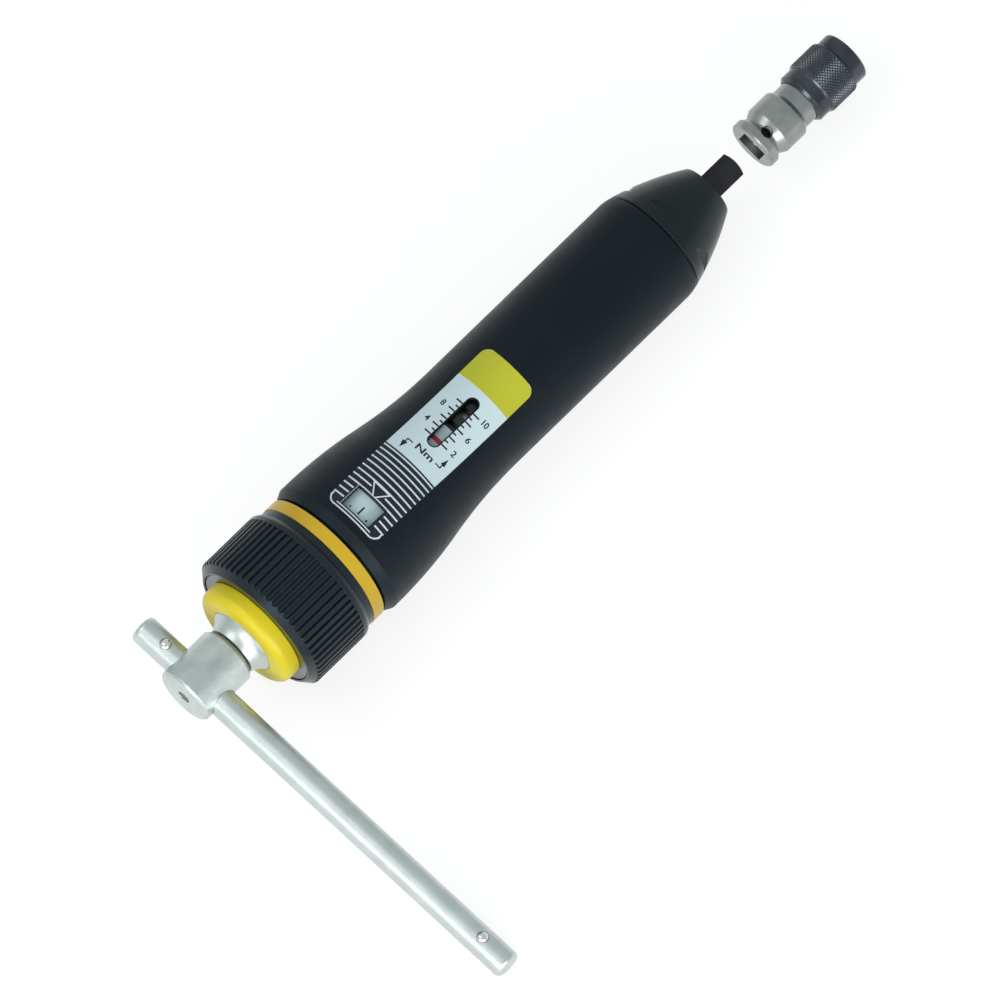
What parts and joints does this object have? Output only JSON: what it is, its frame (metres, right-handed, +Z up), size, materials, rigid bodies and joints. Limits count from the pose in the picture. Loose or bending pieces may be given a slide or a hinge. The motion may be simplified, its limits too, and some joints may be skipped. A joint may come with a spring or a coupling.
{
  "type": "torque screwdriver",
  "caption": "Click-type torque screwdriver with a flared handle, ribbed setting ring, sliding T-handle plugged into its rear and a bit adapter pulled off the square drive.",
  "frame": {"origin": "bottom centre of the bounding box, on the surface the tool lies on", "axes": "+X along the tool, from the T-handle to the bit adapter, 2.35 degrees above the tool's own axis; +Z up"},
  "size_m": [0.218, 0.114, 0.038],
  "materials": {
    "handle": "fine-textured black paint",
    "label": "glossy printed foil",
    "nose": "smooth black",
    "bronze": "sintered",
    "spindle": "satin nickel",
    "black_steel": "black oxide",
    "ground_steel": "ground",
    "ring": "satin black",
    "band": "satin",
    "drum": "printed",
    "lock_nut": "satin yellow",
    "indicator": "printed with a red line",
    "spring_steel": "oiled",
    "hard_steel": "hardened",
    "black_oxide": "black oxide, slightly glossy",
    "chrome": "polished",
    "satin_chrome": "satin",
    "satin_nickel": "satin nickel"
  },
  "bodies": {
    "handle": {"handle_shell": "handle", "label_strip": "label", "nose_cap": "nose", "front_bush": "bronze", "core_spindle": "spindle", "spindle_circlip": "black_steel", "friction_plate": "ground_steel", "bearing_plate": "ground_steel", "shell_circlip": "black_steel", "thrust_washer": "ground_steel"},
    "setting": {"setting_ring": "ring", "colour_band": "band", "setting_sleeve": "ground_steel", "ring_screw_1": "black_steel", "ring_screw_2": "black_steel", "ring_screw_3": "black_steel", "scale_drum": "drum", "thrust_collar": "ground_steel"},
    "locknut": {"lock_nut": "lock_nut"},
    "nut": {"thrust_nut": "ground_steel", "indicator_sleeve": "indicator", "rear_seat": "black_steel", "main_spring": "spring_steel"},
    "cam": {"front_seat": "black_steel", "pressure_cam": "hard_steel"},
    "output": {"output_shaft": "black_oxide", "drive_cam": "hard_steel", "drive_ball": "chrome"},
    "tee": {"tee_head": "satin_chrome", "tang_ball": "chrome"},
    "bar": {"tee_bar": "satin_chrome"},
    "nearball": {"near_ball": "chrome"},
    "farball": {"far_ball": "chrome"},
    "adapter": {"adapter_body": "satin_nickel", "bit_ball": "chrome", "stop_ring": "black_steel"},
    "sleeve": {"adapter_sleeve": "black_oxide", "sleeve_spring": "spring_steel"}
  },
  "joints": [
    {"name": "ring_turn", "type": "hinge", "parent": "handle", "child": "setting", "pos_m": [-0.06093, 0.03838, 0.01862], "axis": [0.9992, 0, -0.041], "range_deg": [-18, 1422]},
    {"name": "nut_travel", "type": "slide", "parent": "handle", "child": "nut", "axis": [0.9992, 0, -0.041], "range_m": [-0.00013, 0.01041], "deforming": ["main_spring"]},
    {"name": "lock_turn", "type": "hinge", "parent": "handle", "child": "locknut", "pos_m": [-0.08691, 0.03838, 0.01968], "axis": [0.9992, 0, -0.041], "range_deg": [-90, 0]},
    {"name": "clutch_slip", "type": "hinge", "parent": "handle", "child": "output", "pos_m": [0.04898, 0.03838, 0.01411], "axis": [0.9992, 0, -0.041], "range_deg": [-45, 0], "stiffness_Nm_per_rad": 0.5},
    {"name": "cam_lift", "type": "slide", "parent": "handle", "child": "cam", "axis": [0.9992, 0, -0.041], "range_m": [-0.00145, 0], "deforming": ["main_spring"]},
    {"name": "tee_pull", "type": "slide", "parent": "handle", "child": "tee", "axis": [-0.9992, 0, 0.041], "range_m": [0, 0.012]},
    {"name": "bar_slide", "type": "slide", "parent": "tee", "child": "bar", "axis": [-0.0073, -0.9841, -0.1776], "range_m": [-0.079, 0.002]},
    {"name": "near_ball_press", "type": "slide", "parent": "bar", "child": "nearball", "axis": [0.0403, -0.1777, 0.9833], "range_m": [-0.0005, 0], "stiffness_N_per_m": 500},
    {"name": "far_ball_press", "type": "slide", "parent": "bar", "child": "farball", "axis": [0.0403, -0.1777, 0.9833], "range_m": [-0.0005, 0], "stiffness_N_per_m": 500},
    {"name": "adapter_push", "type": "slide", "parent": "output", "child": "adapter", "axis": [0.9992, 0, -0.041], "range_m": [-0.0151, 0]},
    {"name": "sleeve_pull", "type": "slide", "parent": "adapter", "child": "sleeve", "axis": [0.9992, 0, -0.041], "range_m": [-0.003, 0], "stiffness_N_per_m": 300, "deforming": ["sleeve_spring"]}
  ],
  "couplings": [
    {"joint": "nut_travel", "follows": "ring_turn", "m_per_rad": 0.00041937},
    {"joint": "cam_lift", "follows": "clutch_slip", "m_per_rad": 0.0018335}
  ]
}
